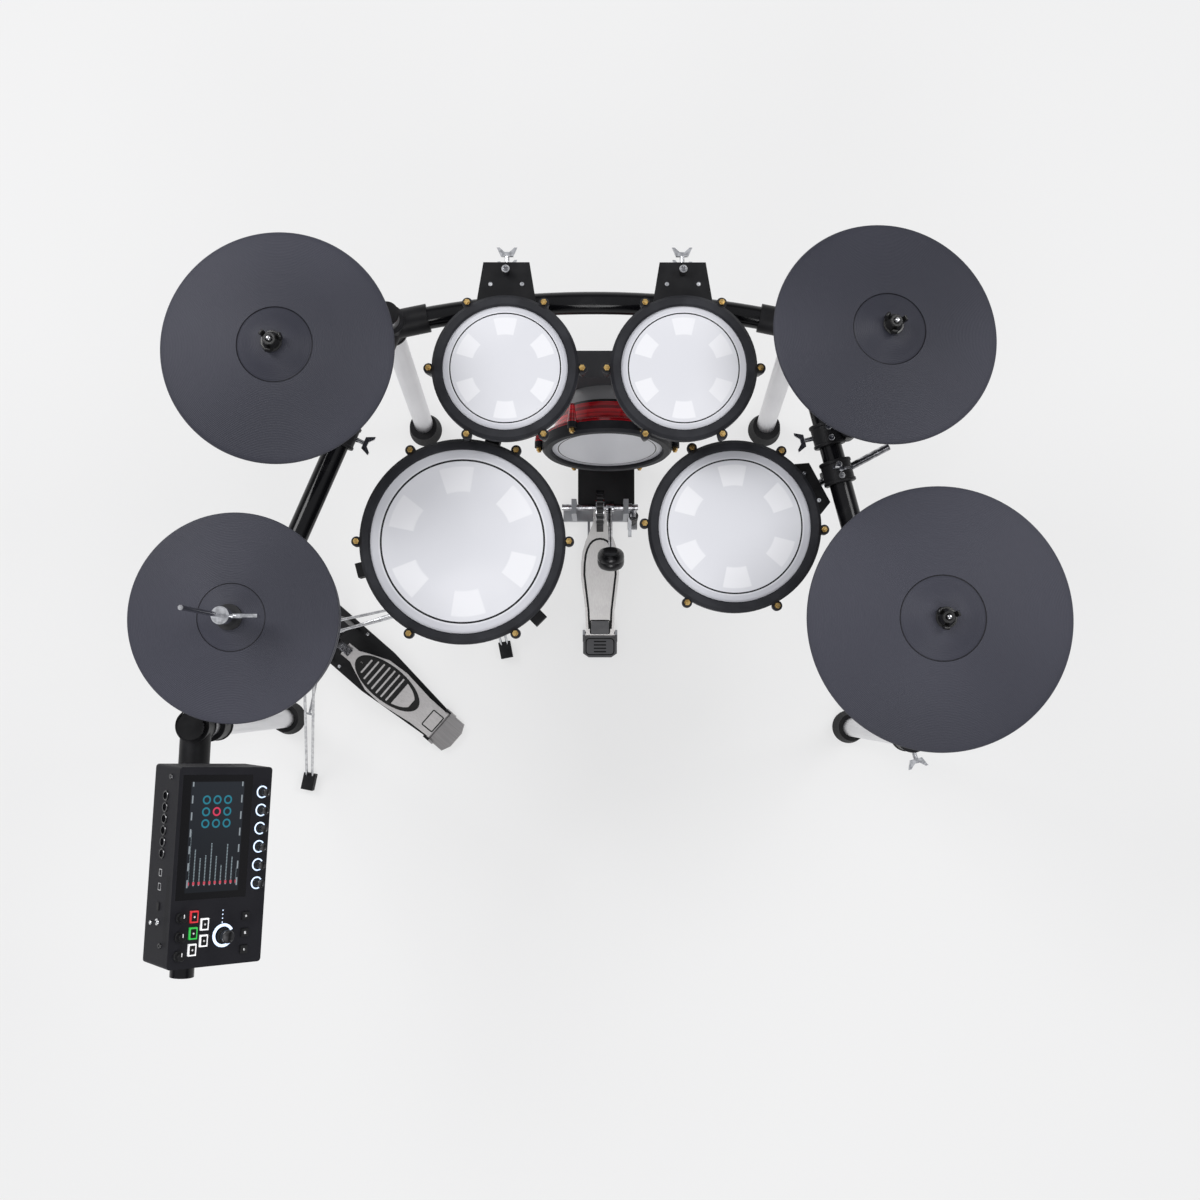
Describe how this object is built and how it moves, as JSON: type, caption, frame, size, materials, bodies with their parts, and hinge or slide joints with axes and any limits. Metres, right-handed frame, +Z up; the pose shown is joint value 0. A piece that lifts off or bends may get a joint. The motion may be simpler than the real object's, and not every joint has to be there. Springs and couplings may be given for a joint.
{
  "type": "electronic drum kit",
  "caption": "Compact electronic drum kit on a bowed tube rack: mesh-head drums, rubber cymbal pads, kick tower with pedal, hi-hat stand and a tilted sound module.",
  "frame": {"origin": "centre of the kit's footprint on the floor", "axes": "+Z up, +X to the drummer's right, +Y away from the drummer towards the bowed rear tube"},
  "size_m": [1.5054, 1.1842, 1.15],
  "materials": {
    "satin_post": "satin anodised tube",
    "black_tube": "gloss black coated tube",
    "clamp_plastic": "moulded black with fine ribs",
    "chrome": "polished chrome plate",
    "foot_rubber": "moulded black rubber",
    "drum_plastic": "satin black shell",
    "red_lacquer": "deep red gloss with dark reflections",
    "hoop_rubber": "rubber-covered hoop",
    "mesh_head": "white woven mesh with a printed edge ring",
    "brass_rod": "brass plated key rods",
    "trigger_foam": "sensor bar with foam cone",
    "bracket_metal": "black cast bracket",
    "rod_steel": "plated steel rod",
    "tower_steel": "black coated plate",
    "cast_frame": "light grey cast frame",
    "board_metal": "brushed footboard",
    "beater_felt": "black beater",
    "spring_steel": "blackened spring wire",
    "pad_rubber": "matte charcoal rubber with fine grooves",
    "nut_plastic": "black moulded wing nut",
    "case_plastic": "charcoal fine-grained case",
    "screen_glass": "black glass over a dark display",
    "knob_plastic": "soft black knob",
    "red_lens": "lit red lens",
    "green_lens": "lit green lens",
    "white_lens": "lit white lens",
    "dark_key": "dark grey key"
  },
  "bodies": {
    "stand": {"rack_posts": "satin_post", "rear_tube": "black_tube", "left_tube": "black_tube", "right_tube": "black_tube", "module_arm_tube": "black_tube", "rack_clamps": "clamp_plastic", "wing_bolts": "chrome", "rubber_feet": "foot_rubber", "snare_shell": "drum_plastic", "left_tom_shell": "drum_plastic", "right_tom_shell": "drum_plastic", "floor_tom_shell": "drum_plastic", "kick_shell": "red_lacquer", "drum_hoops": "hoop_rubber", "drum_heads": "mesh_head", "tension_rods": "brass_rod", "drum_triggers": "trigger_foam", "tom_brackets": "bracket_metal", "tom_rods": "rod_steel", "kick_tower": "tower_steel", "kick_pedal_base": "cast_frame", "kick_spring": "spring_steel", "snare_stand": "chrome", "snare_grips": "foot_rubber", "hihat_stand": "chrome", "hihat_pedal_plate": "tower_steel", "hihat_bottom_pad": "pad_rubber", "cymbal_arms": "black_tube", "cymbal_sleeves": "foot_rubber", "wing_nuts": "nut_plastic", "module_case": "case_plastic", "touch_screen": "screen_glass"},
    "kick_footboard": {"kick_footboard": "board_metal"},
    "beater": {"beater_shaft": "rod_steel", "beater_head": "beater_felt"},
    "hihat_footboard": {"hihat_footboard": "board_metal"},
    "hihat_top": {"hihat_rod": "rod_steel", "hihat_clutch": "chrome", "hihat_top_pad": "pad_rubber"},
    "left_crash": {"left_crash_pad": "pad_rubber"},
    "right_crash": {"right_crash_pad": "pad_rubber"},
    "ride": {"ride_pad": "pad_rubber"},
    "encoder_1": {"encoder_1": "knob_plastic"},
    "encoder_2": {"encoder_2": "knob_plastic"},
    "encoder_3": {"encoder_3": "knob_plastic"},
    "encoder_4": {"encoder_4": "knob_plastic"},
    "encoder_5": {"encoder_5": "knob_plastic"},
    "encoder_6": {"encoder_6": "knob_plastic"},
    "main_encoder": {"main_encoder": "knob_plastic"},
    "pot_1": {"pot_1": "knob_plastic"},
    "pot_2": {"pot_2": "knob_plastic"},
    "pot_3": {"pot_3": "knob_plastic"},
    "red_button": {"red_button": "red_lens"},
    "green_button": {"green_button": "green_lens"},
    "stop_button": {"stop_button": "white_lens"},
    "tap_button": {"tap_button": "white_lens"},
    "click_button": {"click_button": "white_lens"},
    "menu_button": {"menu_button": "dark_key"},
    "page_button": {"page_button": "dark_key"},
    "back_button": {"back_button": "dark_key"}
  },
  "joints": [
    {"name": "kick_press", "type": "hinge", "parent": "stand", "child": "kick_footboard", "pos_m": [0.0327, -0.02336, 0.017], "axis": [-1, 0, 0], "range_deg": [0, 9], "stiffness_Nm_per_rad": 14, "springref_deg": -20.05},
    {"name": "beater_swing", "type": "hinge", "parent": "stand", "child": "beater", "pos_m": [0.0327, 0.22664, 0.128], "axis": [-1, 0, 0], "range_deg": [0, 43.3], "deforming": ["kick_spring"]},
    {"name": "hihat_press", "type": "hinge", "parent": "stand", "child": "hihat_footboard", "pos_m": [-0.30171, -0.21145, 0.017], "axis": [-0.6547, -0.7559, 0], "range_deg": [0, 6], "stiffness_Nm_per_rad": 20, "springref_deg": -25.78},
    {"name": "hihat_drop", "type": "slide", "parent": "stand", "child": "hihat_top", "axis": [0, 0, -1], "range_m": [0, 0.025]},
    {"name": "left_crash_rock", "type": "hinge", "parent": "stand", "child": "left_crash", "pos_m": [-0.4563, 0.37864, 0.878], "axis": [1, 0, 0], "range_deg": [-7, 7], "stiffness_Nm_per_rad": 2.5},
    {"name": "right_crash_rock", "type": "hinge", "parent": "stand", "child": "right_crash", "pos_m": [0.4807, 0.41764, 0.822], "axis": [0.7071, -0.7071, 0], "range_deg": [-7, 7], "stiffness_Nm_per_rad": 2.5},
    {"name": "ride_rock", "type": "hinge", "parent": "stand", "child": "ride", "pos_m": [0.5497, -0.03136, 0.846], "axis": [1, 0, 0], "range_deg": [-7, 7], "stiffness_Nm_per_rad": 2.5},
    {"name": "encoder_1_turn", "type": "hinge", "parent": "stand", "child": "encoder_1", "pos_m": [-0.46881, -0.29029, 0.84832], "axis": [0.6938, -0.0351, 0.7193], "continuous": true},
    {"name": "encoder_2_turn", "type": "hinge", "parent": "stand", "child": "encoder_2", "pos_m": [-0.47016, -0.317, 0.84832], "axis": [0.6938, -0.0351, 0.7193], "continuous": true},
    {"name": "encoder_3_turn", "type": "hinge", "parent": "stand", "child": "encoder_3", "pos_m": [-0.47152, -0.3437, 0.84832], "axis": [0.6938, -0.0351, 0.7193], "continuous": true},
    {"name": "encoder_4_turn", "type": "hinge", "parent": "stand", "child": "encoder_4", "pos_m": [-0.47287, -0.37041, 0.84832], "axis": [0.6938, -0.0351, 0.7193], "continuous": true},
    {"name": "encoder_5_turn", "type": "hinge", "parent": "stand", "child": "encoder_5", "pos_m": [-0.47422, -0.39711, 0.84832], "axis": [0.6938, -0.0351, 0.7193], "continuous": true},
    {"name": "encoder_6_turn", "type": "hinge", "parent": "stand", "child": "encoder_6", "pos_m": [-0.47558, -0.42382, 0.84832], "axis": [0.6938, -0.0351, 0.7193], "continuous": true},
    {"name": "main_encoder_turn", "type": "hinge", "parent": "stand", "child": "main_encoder", "pos_m": [-0.51482, -0.49471, 0.88271], "axis": [0.6938, -0.0351, 0.7193], "continuous": true},
    {"name": "pot_1_turn", "type": "hinge", "parent": "stand", "child": "pot_1", "pos_m": [-0.56395, -0.46216, 0.93168], "axis": [0.6938, -0.0351, 0.7193], "range_deg": [-140, 140]},
    {"name": "pot_2_turn", "type": "hinge", "parent": "stand", "child": "pot_2", "pos_m": [-0.56531, -0.48901, 0.93168], "axis": [0.6938, -0.0351, 0.7193], "range_deg": [-140, 140]},
    {"name": "pot_3_turn", "type": "hinge", "parent": "stand", "child": "pot_3", "pos_m": [-0.56667, -0.51586, 0.93168], "axis": [0.6938, -0.0351, 0.7193], "range_deg": [-140, 140]},
    {"name": "red_push", "type": "slide", "parent": "stand", "child": "red_button", "axis": [-0.6938, 0.0351, -0.7193], "range_m": [0, 0.0015], "stiffness_N_per_m": 600, "springref_m": -0.0005},
    {"name": "green_push", "type": "slide", "parent": "stand", "child": "green_button", "axis": [-0.6938, 0.0351, -0.7193], "range_m": [0, 0.0015], "stiffness_N_per_m": 600, "springref_m": -0.0005},
    {"name": "stop_push", "type": "slide", "parent": "stand", "child": "stop_button", "axis": [-0.6938, 0.0351, -0.7193], "range_m": [0, 0.0015], "stiffness_N_per_m": 600, "springref_m": -0.0005},
    {"name": "tap_push", "type": "slide", "parent": "stand", "child": "tap_button", "axis": [-0.6938, 0.0351, -0.7193], "range_m": [0, 0.0015], "stiffness_N_per_m": 600, "springref_m": -0.0005},
    {"name": "click_push", "type": "slide", "parent": "stand", "child": "click_button", "axis": [-0.6938, 0.0351, -0.7193], "range_m": [0, 0.0015], "stiffness_N_per_m": 600, "springref_m": -0.0005},
    {"name": "menu_push", "type": "slide", "parent": "stand", "child": "menu_button", "axis": [-0.6938, 0.0351, -0.7193], "range_m": [0, 0.0015], "stiffness_N_per_m": 600, "springref_m": -0.0005},
    {"name": "page_push", "type": "slide", "parent": "stand", "child": "page_button", "axis": [-0.6938, 0.0351, -0.7193], "range_m": [0, 0.0015], "stiffness_N_per_m": 600, "springref_m": -0.0005},
    {"name": "back_push", "type": "slide", "parent": "stand", "child": "back_button", "axis": [-0.6938, 0.0351, -0.7193], "range_m": [0, 0.0015], "stiffness_N_per_m": 600, "springref_m": -0.0005}
  ],
  "couplings": [
    {"joint": "beater_swing", "follows": "kick_press", "ratio": 4.809},
    {"joint": "hihat_drop", "follows": "hihat_press", "m_per_rad": 0.2387}
  ]
}
